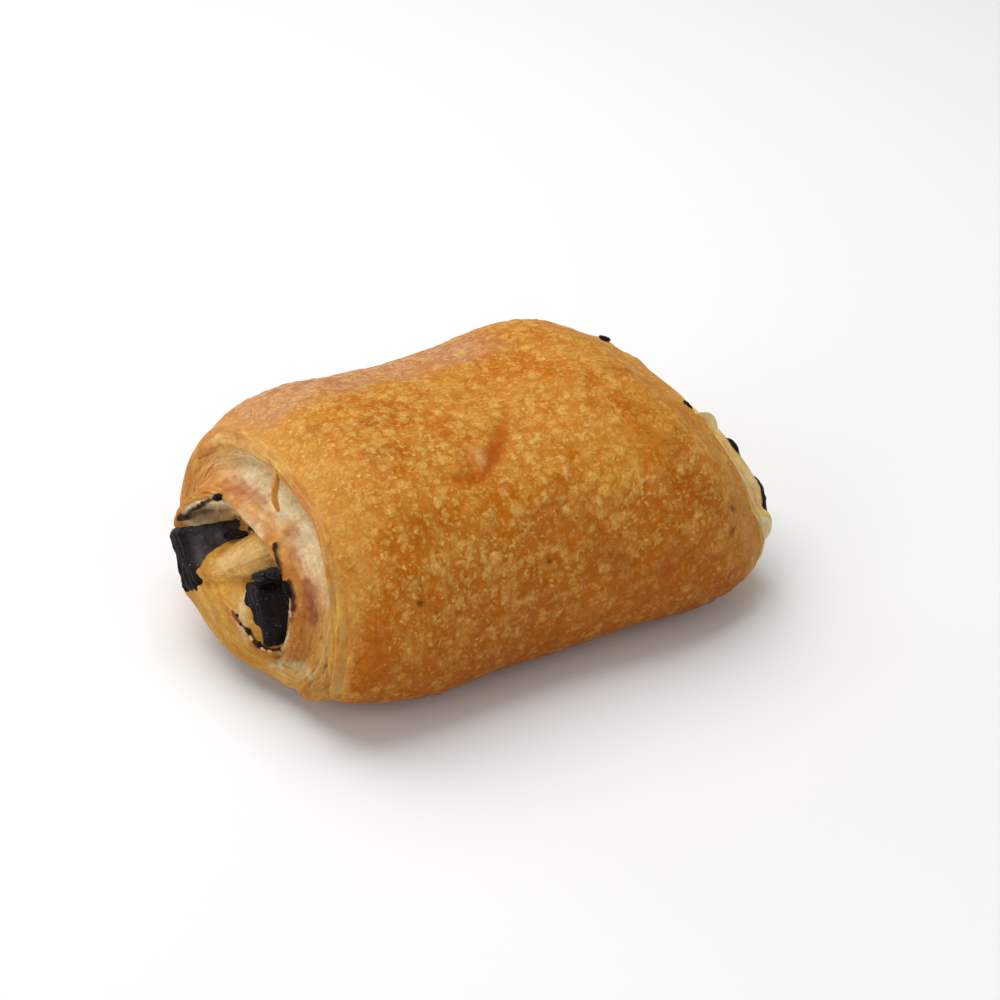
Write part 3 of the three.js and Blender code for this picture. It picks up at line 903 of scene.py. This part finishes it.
class PASTRY_OT_crust(bpy.types.Operator):
    """Make the outer wrap with its blisters"""

    bl_idname = "pastry.crust"
    bl_label = "Crust"

    AROUND = 420
    ALONG = 200
    LIP_SPACING = 0.45

    def execute(self, context):
        sizes = context.scene.pastry_sizes
        colours = context.scene.pastry_colours
        angle = even_angles(self.AROUND, floor_share=0.4)
        lip = refined(CRUST_LIP, spacing=self.LIP_SPACING, unit=LIP_SIZE)
        near = edge_rings(NEAR, lip[::-1, :1], lip[::-1, 1:], angle)
        far = edge_rings(FAR, lip[:, :1], lip[:, 1:], angle)
        u = np.linspace(-1, 1, self.ALONG)[:, None]
        skin = Skin(np.concatenate([near, crust_points(u, angle), far]), np.array(colours.brown))
        points = skin.points
        free = smoothstep(0.2, 4.0, points[..., 2])
        x, z = points[..., 0], points[..., 2]
        waves = noise(points, 15, 11) + 0.45 * noise(points, 6, 12) + 0.2 * noise(points, 3, 13)
        beyond = np.maximum(outward(NEAR, points), outward(FAR, points))
        free = free * smoothstep(2.2, 0.2, beyond)
        skin.push(free * waves * sizes.undulation / MM)

        field, shade = scatter_blisters(points, sizes.blister_count, 5)
        stretched = noise(points, 1.1, 21, (1, 4, 4)) + 0.5 * noise(points, 0.6, 22, (1, 4, 4))
        upper = smoothstep(18, 34, z)
        near_rim = smoothstep(7 * upper - 0.5, 1.2 * upper - 2.2, x - rim_x(NEAR, z))
        far_rim = smoothstep(7, 0, rim_x(FAR, z) - x)
        rims = np.maximum(near_rim, far_rim)
        relief = field * sizes.blister_height / MM * (1 - 0.5 * rims) + 0.1 * rims * stretched
        skin.push(free * relief)

        broad = noise(points, 11, 31) + 0.8 * noise(points, 4.5, 32) + 0.5 * noise(points, 2.0, 33)
        skin.paint(np.array(colours.gold), smoothstep(-0.7, 0.9, broad + 1.3 * smoothstep(24, 40, z) - 0.75))
        skin.paint(AMBER, 0.8 * smoothstep(0.15, 0.9, noise(points, 6, 36) + 0.5 * noise(points, 2.5, 37)))
        skin.paint(UMBER, 0.8 * smoothstep(26, 6, z) + 0.3 * smoothstep(0.2, -1.2, broad))
        skin.paint(np.array(colours.blister), 0.35 * field * (0.35 + 0.5 * shade) * smoothstep(8, 26, z))
        around = noise(points, 0.9, 41, (1, 5, 5)) + 0.6 * noise(points, 0.45, 42, (1, 7, 7))
        left = smoothstep(6, -24, x) * smoothstep(8, 20, z)
        skin.paint(AMBER, 0.55 * left * smoothstep(0.1, 0.9, around))
        skin.paint(np.array(colours.blister), 0.4 * left * smoothstep(-0.1, -0.9, around))
        skin.paint(RIM_GOLD, rims * (0.7 + 0.3 * stretched))
        y = points[..., 1]
        # Painted reflection: a pinkish-grey sheen along the top of the crust's back, where the back light
        # grazes it
        back = smoothstep(5, 11, y + 1.5 * noise(points, 3, 38)) * smoothstep(30, 20, y)
        sheen = back * smoothstep(16, 4, x) * smoothstep(-42, -32, x) * smoothstep(34, 38, z)
        skin.paint(SHEEN_PINK, sheen * (0.75 + 0.3 * noise(points, 1.0, 39, (3, 1, 1))))
        plain = np.ones(x.shape)
        for shade, strength, wide, deep, through in CRUST_MARKS:
            gap, _ = distance_to_line(points, through)
            ragged = 1 + 0.35 * noise(points, 1.8, 34) + 0.25 * noise(points, 0.8, 40)
            mark = np.exp(-((gap / (wide * ragged)) ** 2))
            skin.paint(srgb(*shade), strength * mark)
            skin.push(-deep * mark)
            plain = plain * (1 - 0.8 * mark)
        dense = smoothstep(-50, -24, x) * smoothstep(14, 30, z) * (0.75 + 0.35 * noise(points, 8, 35))
        skin.gloss = (0.5 + 0.5 * dense) * (1 - 0.35 * rims) * plain
        skin.grain = (0.45 + 0.4 * smoothstep(12, 30, z) + 0.3 * left) * (1 - 0.25 * rims) * plain
        piece = skin.build("pastry_crust", finish_of("Egg-washed crust"), "crust")
        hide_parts(NODE)
        return {"FINISHED"}


def smooth_max(first, second, width):
    """The higher of two heights with a blend of this width, and the share that the second has in it."""
    share = np.clip(0.5 + 0.5 * (second - first) / width, 0, 1)
    return first * (1 - share) + second * share + width * share * (1 - share), share


def round_the_end(table, degrees):
    """A value at angles round the end, from a table of degrees and values."""
    at, values = np.array(table, float).T
    return np.interp(degrees, at, values, period=360)


def roll_height(end, points):
    """Height of the inner roll's lip over the rim, and its share of the outline at each point."""
    roll = end["roll"]
    across = (roll["y"] - points[..., 1]) / roll["half_width"]
    rise = (points[..., 2] - roll["z"]) / np.where(points[..., 2] > roll["z"], roll["up"], roll["down"])
    share = (np.abs(across) ** ROLL_ROUNDNESS + np.abs(rise) ** ROLL_ROUNDNESS) ** (1 / ROLL_ROUNDNESS)
    share = share * (1 + 0.03 * noise(points, 7, 90, (9, 1, 1)))
    shares, leads = np.array(ROLL_LIP).T
    lead = np.interp(share, shares, leads) * (1 + 0.1 * noise(points, 6, 91, (9, 1, 1)))
    turn = np.maximum(share, 0.2)
    return lead * (roll["lead"] + (roll["lead_top"] * rise - roll["lead_far"] * across) / turn), share


def pillow_height(points):
    """Height of the pillow's outside along X, and the place across it."""
    turn = math.radians(PILLOW["tilt"])
    middle = np.array(PILLOW["centre"])
    half_deep, half_long, half_tall = PILLOW["half_sizes"]
    offset = points - middle
    along = (offset[..., 1] * math.cos(turn) + offset[..., 2] * math.sin(turn)) / half_long
    up = (offset[..., 2] * math.cos(turn) - offset[..., 1] * math.sin(turn)) / half_tall
    power = PILLOW["roundness"]
    inside = 1 - np.abs(along) ** power - np.abs(up) ** power
    bulge = np.where(inside > 0, np.maximum(inside, 0) ** (1 / power), 8 * inside)
    return -middle[0] + half_deep * bulge, up * half_tall


def fold_height(fold, points):
    """Height of a fold's outside along X, and the distance across it."""
    line = curve_points(fold["through"], 60)
    flat, along = distance_to_line(points, fold["through"], (0, 1, 1))
    crest = -np.interp(along, np.linspace(0, 1, len(line)), line[:, 0])
    half = fold["half"][0] + (fold["half"][1] - fold["half"][0]) * along
    off = flat / half
    round_part = np.sqrt(np.maximum(0, 1 - off**2)) - 1
    return crest + half * np.where(off < 1, round_part, -1 - fold["steep"] * (off - 1)), flat


def fibres(line, run, seed):
    """Streaks from -1 to 1 that run along the leaves of dough."""
    flow = np.stack([line, 0.16 * run, 0 * line], -1)
    return 0.6 * noise(flow, 0.5, seed) + 0.4 * noise(flow, 0.22, seed + 1)


def end_skin(end, spacing, around, widths, depths):
    """The surface of an end, in rings from under the crust's lip inwards, and each point's place on it."""
    angle = even_angles(around, floor_share=0.6)
    degrees = np.degrees(angle)
    profile = refined(WRAP_EDGE, spacing, SECTION_SIZE)
    place, reach = profile[:, :1], profile[:, 1:]
    wide = round_the_end(widths, degrees)
    inner = WRAP_EDGE[-2][0]
    drawn_in = 1 - (1 - inner) * wide
    outer_part = WRAP_SEAM - (WRAP_SEAM - place) * (WRAP_SEAM - drawn_in) / (WRAP_SEAM - inner)
    share = np.where(place > WRAP_SEAM, place, np.where(place > inner, outer_part, place * drawn_in / inner))
    band = smoothstep(0.80, 0.86, place)
    filled = 1 - round_the_end(depths, degrees)
    reach = reach + (1 - band) * filled * FILLED_RISE
    skin = Skin(edge_rings(end, share, reach, angle), RIM_GOLD)
    return skin, share, np.broadcast_to(place, share.shape), np.broadcast_to(degrees, share.shape)


def outward(end, points):
    """How far points lie out of the rim's surface along X."""
    return end["side"] * (points[..., 0] - rim_x(end, points[..., 2]))


def set_outward(end, skin, height):
    """Moves the points along X to a height over the rim's surface."""
    points = skin.points.copy()
    points[..., 0] = rim_x(end, points[..., 2]) + end["side"] * height
    skin.points = points


def stroke(points, through, width, seed):
    """A brush stroke along a curve through places (y, z): 1 on it, falling to 0, with a ragged edge."""
    line = [(0, y, z) for y, z in through]
    gap, along = distance_to_line(points, line, (0, 1, 1))
    ragged = 1 + 0.45 * noise(points, 1.6, seed) + 0.3 * noise(points, 0.6, seed + 1)
    fade = np.sqrt(np.sin(math.pi * np.clip(along, 0.02, 0.98)))
    return np.exp(-((gap / (width * ragged * (0.4 + 0.6 * fade))) ** 2))


class PASTRY_OT_near_end(bpy.types.Operator):
    """Make the near end: the cut edge, the recess, the inner roll, the tongue and the pillow of dough"""

    bl_idname = "pastry.near_end"
    bl_label = "Near end"

    AROUND = 560
    SPACING = 0.26

    def execute(self, context):
        sizes = context.scene.pastry_sizes
        cream = np.array(context.scene.pastry_colours.cream)
        skin, share, place, degrees = end_skin(NEAR, self.SPACING, self.AROUND, BAND_WIDTHS, RECESS_DEPTHS)
        points = skin.points
        rim = -rim_x(NEAR, points[..., 2])
        height = outward(NEAR, points)
        pitch = sizes.leaf_pitch / MM
        depth = sizes.leaf_depth / MM
        line = (1 - share) * SECTION_SIZE
        open_share = round_the_end(RECESS_DEPTHS, degrees)
        recess = open_share * smoothstep(0.885, 0.83, place)
        tint = mix(np.broadcast_to(RIM_GOLD, points.shape), cream, recess)
        spread = np.full(share.shape, 0.8)

        roll, roll_share = roll_height(NEAR, points)
        height, won = smooth_max(height, roll, width=2.2)
        pale = np.maximum(smoothstep(0.81, 0.75, roll_share), open_share * smoothstep(0.9, 1.02, roll_share))
        tint = mix(tint, mix(np.broadcast_to(RIDGE_ORANGE, points.shape), cream, pale), won)
        line = np.where(won > 0.5, roll_share * ROLL_SIZE, line)

        run = 0.35 * degrees
        calm = np.zeros(share.shape)
        for (outside, across), width, colour, size, quiet in (
            (fold_height(UNDERLAYER, points), 2.0, DOUGH_YELLOW, 1.0, 0.3),
            (pillow_height(points), 0.9, DOUGH_YELLOW, 1.3, 0.65),
            (fold_height(TURN, points), 1.6, DOUGH_YELLOW, 1.2, 0.5),
            (fold_height(TONGUE, points), 1.2, TONGUE_GOLD, 1.0, 0.75),
        ):
            height, won = smooth_max(height, outside - rim, width)
            tint = mix(tint, np.broadcast_to(colour, tint.shape), won)
            line = np.where(won > 0.5, across, line)
            run = np.where(won > 0.5, points[..., 1], run)
            spread = np.where(won > 0.5, size, spread)
            calm = calm * (1 - won) + quiet * won
        for deep, wide, through in CREASES:
            height = height - deep * stroke(points, through, wide, 110)

        set_outward(NEAR, skin, height)
        points = skin.points
        wobble = 0.5 * noise(points, 11, 100) + 0.3 * noise(points, 4, 101) + 0.15 * noise(points, 1.6, 109)
        crest, number = leaf_grooves(line / spread, pitch, wobble)
        streak = fibres(line, run, 120)
        pale = smoothstep(0.24, 0.4, tint[..., 2])
        lined = (1 - 0.75 * pale) * (1 - calm)
        deeper = smoothstep(-0.6, 0.7, noise(points, 5, 104))
        loose = smoothstep(0.957, 0.935, place)
        skin.push(loose * (0.3 * noise(points, 6, 102) + (0.18 - 0.1 * lined) * noise(points, 2.4, 103)))
        skin.push(-loose * lined * (0.3 + 1.1 * deeper) * (1 - crest) * depth * spread)
        skin.push(loose * (streak * (0.16 * lined + 0.06 * calm) + 0.14 * pale * noise(points, 0.9, 105)))
        skin.tint = tint
        golden = noise(points, 5.5, 107) + 0.5 * noise(points, 2.2, 108)
        toned = 1 - 0.75 * pale
        skin.paint(LEAF_BROWN, toned * smoothstep(0.1, 1.3, golden) * 0.7)
        skin.paint(LEAF_CREAM, toned * smoothstep(-0.1, -1.3, golden) * 0.6)
        skin.paint(LEAF_BROWN, lined * (0.8 * (0.25 + deeper) * (1 - crest) + 0.3 * leaf_shade(number, 106)))
        skin.paint(LEAF_CREAM, (0.6 * lined + 0.25 * calm) * smoothstep(0.05, 0.8, streak))
        skin.paint(LEAF_BROWN, (0.8 * lined + 0.3 * calm) * smoothstep(-0.05, -0.8, streak))
        skin.paint(SLOT_GREY, 0.5 * pale * smoothstep(0.1, 0.9, noise(points, 1.3, 112)))
        broken = 0.75 + 0.45 * noise(points, 1.0, 113)
        for shade, strength, wide, through in STROKES:
            skin.paint(srgb(*shade), strength * broken * stroke(points, through, wide, 111))
        # Painted shade: the tint darkens towards the bottom and towards -Y
        low = 0.16 * smoothstep(30, 8, points[..., 2]) + 0.08 * smoothstep(-16, -26, points[..., 1])
        skin.tint = skin.tint * (1 - low)[..., None]
        melted = np.zeros(share.shape)
        for shade, thick, wide, through in SMEARS:
            torn = 1 + 0.6 * noise(points, 1.6, 116) + 0.25 * noise(points, 0.9, 117)
            film = smoothstep(0.25, 0.7, torn * stroke(points, through, wide, 114))
            skin.paint(srgb(*shade), 0.95 * film)
            skin.push(thick * film)
            melted = np.maximum(melted, film)
        skin.gloss = 0.08 * lined * (1 - melted)
        skin.grain = 0.5 + 0.3 * pale
        piece = skin.build("pastry_near_end", finish_of("Cut dough"), "crust")
        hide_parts(NODE)
        return {"FINISHED"}


def make_leaf(name, half_sizes, shade, through):
    """A thin leaf of dough along a curve, flat across it."""
    path = curve_points(through, LEAF_ROWS)
    ahead = np.gradient(path, axis=0)
    ahead /= np.linalg.norm(ahead, axis=1, keepdims=True)
    across = np.cross(ahead, (0, 1, 0.1))
    across /= np.linalg.norm(across, axis=1, keepdims=True)
    over = np.cross(across, ahead)
    turn = np.linspace(0, 2 * math.pi, LEAF_AROUND, endpoint=False)
    swell = (np.sin(math.pi * np.linspace(0.02, 0.98, len(path))) ** 0.3)[:, None, None]
    wide = half_sizes[0] * np.cos(turn)[:, None]
    thick = half_sizes[1] * np.sin(turn)[:, None]
    points = path[:, None] + swell * (wide * across[:, None] + thick * over[:, None])
    skin = Skin(points, srgb(*shade))
    skin.push(0.1 * noise(points, 1.4, 131))
    skin.paint(CREAM, 0.6 * smoothstep(-0.2, 0.9, np.broadcast_to(np.cos(turn), skin.gloss.shape)))
    skin.paint(LEAF_BROWN, 0.5 * smoothstep(0.0, 0.9, noise(points, 1.2, 132)))
    skin.grain = np.full(skin.gloss.shape, 0.5)
    piece = skin.build(name, finish_of("Cut dough"), "crust")
    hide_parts(NODE)


class PASTRY_OT_leaves(bpy.types.Operator):
    """Make the thin leaves of dough that stand free at the ends"""

    bl_idname = "pastry.leaves"
    bl_label = "Free leaves"

    def execute(self, context):
        for leaf in LEAVES:
            make_leaf(*leaf)
        return {"FINISHED"}


class PASTRY_OT_far_end(bpy.types.Operator):
    """Make the far end: the cut edge, the recess and the inner roll"""

    bl_idname = "pastry.far_end"
    bl_label = "Far end"

    AROUND = 440
    SPACING = 0.32
    EVEN = ((0, 1),)

    def execute(self, context):
        sizes = context.scene.pastry_sizes
        cream = np.array(context.scene.pastry_colours.cream)
        skin, share, place, _ = end_skin(FAR, self.SPACING, self.AROUND, self.EVEN, self.EVEN)
        points = skin.points
        height = outward(FAR, points)
        roll, roll_share = roll_height(FAR, points)
        height, won = smooth_max(height, roll, width=1.6)
        line = np.where(won > 0.5, roll_share * ROLL_SIZE, (1 - share) * SECTION_SIZE)
        hollow = won * smoothstep(0.76, 0.66, roll_share)
        pale = np.maximum(smoothstep(0.87, 0.82, place) * (1 - won), hollow)
        rim = rim_x(FAR, points[..., 2])
        mirrored = points * (-1, 1, 1)
        turned = {**FAR_FOLD, "through": [(-x, y, z) for x, y, z in FAR_FOLD["through"]]}
        fold, _ = fold_height(turned, mirrored)
        height, folded = smooth_max(height, fold - rim, width=2)
        set_outward(FAR, skin, height)
        points = skin.points
        wobble = 0.5 * noise(points, 12, 140) + 0.2 * noise(points, 4, 141)
        crest, number = leaf_grooves(line, 1.2 * sizes.leaf_pitch / MM, wobble)
        lined = 1 - 0.7 * pale
        skin.push(0.45 * noise(points, 6, 142) + 0.2 * noise(points, 2.2, 143))
        skin.push(-lined * (1 - crest) * 1.3 * sizes.leaf_depth / MM)
        skin.paint(FAR_YELLOW, np.maximum(won, folded))
        skin.paint(FAR_GREY, smoothstep(0.955, 0.93, place) * smoothstep(0.86, 0.9, place) * (1 - won))
        skin.paint(cream, 0.6 * pale)
        skin.paint(LEAF_BROWN, lined * (0.4 * (1 - crest) + 0.15 * leaf_shade(number, 144)))
        patch = noise(points, 5, 145) + 0.6 * noise(points, 2, 146)
        skin.paint(LEAF_BROWN, 0.4 * lined * smoothstep(0.2, 1.2, patch))
        skin.paint(cream, 0.5 * smoothstep(-0.2, -1.1, patch))
        skin.gloss = 0.12 * lined
        skin.grain = 0.4 + 0.3 * pale
        piece = skin.build("pastry_far_end", finish_of("Cut dough"), "crust")
        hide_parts(NODE)
        return {"FINISHED"}


def make_stick(name, stick, node, seed):
    """A stick of chocolate with worn corners, rippled, broken ends, and a painted sheen on one broad side.
    """
    start = np.array(stick["from"]) + (MIDDLE_X, 0, 0)
    finish = np.array(stick["to"]) + (MIDDLE_X, 0, 0)
    length = np.linalg.norm(finish - start)
    along = (finish - start) / length
    turn = math.radians(stick["lean"])
    thick = np.array([0, -math.cos(turn), math.sin(turn)])
    broad = np.array([0, math.sin(turn), math.cos(turn)])
    face = (*np.linspace(0.02, 0.85, FACE_RINGS), 0.93)
    shares = np.array((*face, *np.ones(2 * TIP_RINGS + MIDDLE_RINGS), *face[::-1]))
    first = np.concatenate([np.zeros(FACE_RINGS), [0.25], np.linspace(0.7, TIP_LENGTH, TIP_RINGS)])
    middle = np.linspace(TIP_LENGTH + 0.5, length - TIP_LENGTH - 0.5, MIDDLE_RINGS)
    reach = np.concatenate([first, middle, length - first[::-1]])
    across, rise = rounded(np.linspace(0, 2 * math.pi, STICK_AROUND, endpoint=False), STICK_ROUNDNESS)
    points = (
        start
        + reach[:, None, None] * along
        + (shares[:, None] * across * STICK_THICK / 2)[..., None] * thick
        + (shares[:, None] * rise * STICK_BROAD / 2)[..., None] * broad
    )
    skin = Skin(points, STICK_BASE)
    skin.push(0.28 * noise(points, 2.6, seed) + 0.16 * noise(points, 0.8, seed + 1))
    faces = smoothstep(1.6, 0.2, np.minimum(reach, length - reach))[:, None]
    ripple = np.sin((points @ broad) * 0.6 + (points @ thick) * 3.4 + 1.4 * noise(points, 3, seed + 2))
    skin.points = skin.points + (faces * ripple * 0.16)[..., None] * along
    # Painted sheen: lighter violet-grey on the broad side that faces up and towards -Y, strongest on the
    # upper stick
    side = (points - start) @ thick / (STICK_THICK / 2)
    height = np.abs((points - start) @ broad) / (STICK_BROAD / 2)
    painted_sheen = smoothstep(0.6, 0.95, side) * smoothstep(1.0, 0.3, height) * smoothstep(0, 2.5, reach)[:, None]
    skin.gloss = stick["painted_sheen"] * painted_sheen * (0.8 + 0.5 * noise(points, 1.6, seed + 3, (1, 2, 2)))
    piece = skin.build(name, finish_of("Dark chocolate"), "chocolate")
    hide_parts(node)


def add_bit(start, finish, wide, thick, seed):
    """A broken bit between two places: a ball of facets, shaken out of shape."""
    run = Vector(finish) - Vector(start)
    bpy.ops.object.select_all(action="DESELECT")
    bpy.ops.mesh.primitive_ico_sphere_add(subdivisions=3, radius=BIT_RADIUS)
    bit = bpy.context.active_object
    bpy.ops.object.mode_set(mode="EDIT")
    bpy.ops.mesh.select_all(action="SELECT")
    bpy.ops.transform.vertex_random(offset=BIT_SHAKE, uniform=0.5, normal=0.5, seed=seed)
    bpy.ops.object.mode_set(mode="OBJECT")
    bit.scale = (wide * MM, thick * MM, run.length * MM)
    bit.rotation_euler = run.to_track_quat("Z", "Y").to_euler()
    bit.location = (Vector(start) + Vector(finish)) / 2 * MM
    bpy.ops.object.transform_apply(location=True, rotation=True, scale=True)
    return bit


def make_bits(name, table, material, node, seed, tint=None):
    """All bits of one kind as one piece, with the tint that a finish of dough reads."""
    bits = [add_bit(*row, seed + number) for number, row in enumerate(table)]
    bpy.ops.object.select_all(action="DESELECT")
    for bit in bits:
        bit.select_set(True)
    bpy.context.view_layer.objects.active = bits[0]
    bpy.ops.object.join()
    piece = bpy.context.active_object
    piece.name = name
    piece.data.materials.append(material)
    if tint is not None:
        layer = piece.data.attributes.new("tint", "FLOAT_COLOR", "POINT")
        layer.data.foreach_set("color", np.tile((*tint, 1), len(piece.data.vertices)))
    bpy.ops.object.shade_smooth_by_angle(angle=math.radians(BIT_EDGE_DEGREES))
    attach(piece, BODY)
    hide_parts(node)


class PASTRY_OT_chocolate_bits(bpy.types.Operator):
    """Make the broken bits of chocolate by the sticks, and the crumbs of dough among them"""

    bl_idname = "pastry.chocolate_bits"
    bl_label = "Chocolate bits"

    def execute(self, context):
        finish = finish_of("Dark chocolate")
        make_bits("upper_chocolate_bits", UPPER_BITS, finish, "chocolate_stick_upper", 500)
        make_bits("lower_chocolate_bits", LOWER_BITS, finish, "chocolate_stick_lower", 540)
        make_bits("dough_crumbs", CRUMBS, finish_of("Cut dough"), NODE, 580, CRUMB_CREAM)
        return {"FINISHED"}


class PASTRY_OT_chocolate(bpy.types.Operator):
    """Make the two chocolate sticks"""

    bl_idname = "pastry.chocolate"
    bl_label = "Chocolate"

    def execute(self, context):
        make_stick("upper_chocolate", UPPER_STICK, "chocolate_stick_upper", seed=400)
        make_stick("lower_chocolate", LOWER_STICK, "chocolate_stick_lower", seed=420)
        return {"FINISHED"}


def add_softbox(name, place, target, size, power, tint):
    """A square area light that faces a place."""
    light = bpy.data.lights.new(name, "AREA")
    light.size = size
    light.energy = power
    light.color = tint
    lamp = bpy.data.objects.new(name, light)
    lamp.location = place
    lamp.rotation_euler = (Vector(target) - Vector(place)).to_track_quat("-Z", "Y").to_euler()
    bpy.context.scene.collection.objects.link(lamp)


class PASTRY_OT_stage(bpy.types.Operator):
    """Make the floor, the light and the camera"""

    bl_idname = "pastry.stage"
    bl_label = "Stage"

    def execute(self, context):
        scene = context.scene
        look = scene.pastry_stage
        bpy.ops.object.select_all(action="DESELECT")
        bpy.ops.mesh.primitive_plane_add(size=FLOOR_SIZE, location=(0, 0, 0))
        floor = context.active_object
        floor.name = "floor"
        floor.data.materials.append(finish_of("Pale floor"))
        for *where, share, tint in LIGHTS:
            add_softbox(*where, share * look.key_power, tint)
        world = bpy.data.worlds.new("Studio")
        world.use_nodes = True
        background = world.node_tree.nodes["Background"]
        background.inputs["Color"].default_value = (1, 1, 1, 1)
        background.inputs["Strength"].default_value = ROOM_LIGHT
        scene.world = world
        scene.view_settings.view_transform = "Standard"
        lens = bpy.data.cameras.new("camera")
        lens.lens = CAMERA_LENS
        lens.sensor_width = CAMERA_SENSOR
        lens.shift_x, lens.shift_y = CAMERA_SHIFT
        lens.clip_start = 0.01
        camera = bpy.data.objects.new("camera", lens)
        camera.location = CAMERA_AT
        view = Vector(CAMERA_TARGET) - Vector(CAMERA_AT)
        camera.rotation_euler = view.to_track_quat("-Z", "Y").to_euler()
        scene.collection.objects.link(camera)
        scene.camera = camera
        return {"FINISHED"}


class PASTRY_PT_panel(bpy.types.Panel):
    """Lists the steps that make the pastry"""

    bl_idname = "PASTRY_PT_panel"
    bl_label = "Pain au chocolat"
    bl_space_type = "VIEW_3D"
    bl_region_type = "UI"
    bl_category = "Pastry"

    def draw(self, context):
        layout = self.layout
        scene = context.scene
        for group in (scene.pastry_sizes, scene.pastry_colours, scene.pastry_stage):
            for name in group.__annotations__:
                layout.prop(group, name)
        for step in STEPS:
            layout.operator(step.bl_idname)


GROUPS = (ShapeSizes, FinishColours, StageLook)
STEPS = (
    PASTRY_OT_finishes,
    PASTRY_OT_stage,
    PASTRY_OT_crust,
    PASTRY_OT_near_end,
    PASTRY_OT_leaves,
    PASTRY_OT_far_end,
    PASTRY_OT_chocolate,
    PASTRY_OT_chocolate_bits,
)


def register():
    for item in (*GROUPS, *STEPS, PASTRY_PT_panel):
        bpy.utils.register_class(item)
    bpy.types.Scene.pastry_sizes = bpy.props.PointerProperty(type=ShapeSizes)
    bpy.types.Scene.pastry_colours = bpy.props.PointerProperty(type=FinishColours)
    bpy.types.Scene.pastry_stage = bpy.props.PointerProperty(type=StageLook)


def unregister():
    del bpy.types.Scene.pastry_sizes
    del bpy.types.Scene.pastry_colours
    del bpy.types.Scene.pastry_stage
    for item in reversed((*GROUPS, *STEPS, PASTRY_PT_panel)):
        bpy.utils.unregister_class(item)


def main():
    """Runs every step in order."""
    register()
    bpy.ops.pastry.finishes()
    bpy.ops.pastry.stage()
    bpy.ops.pastry.crust()
    bpy.ops.pastry.near_end()
    bpy.ops.pastry.leaves()
    bpy.ops.pastry.far_end()
    bpy.ops.pastry.chocolate()
    bpy.ops.pastry.chocolate_bits()


if __name__ == "__main__":
    main()
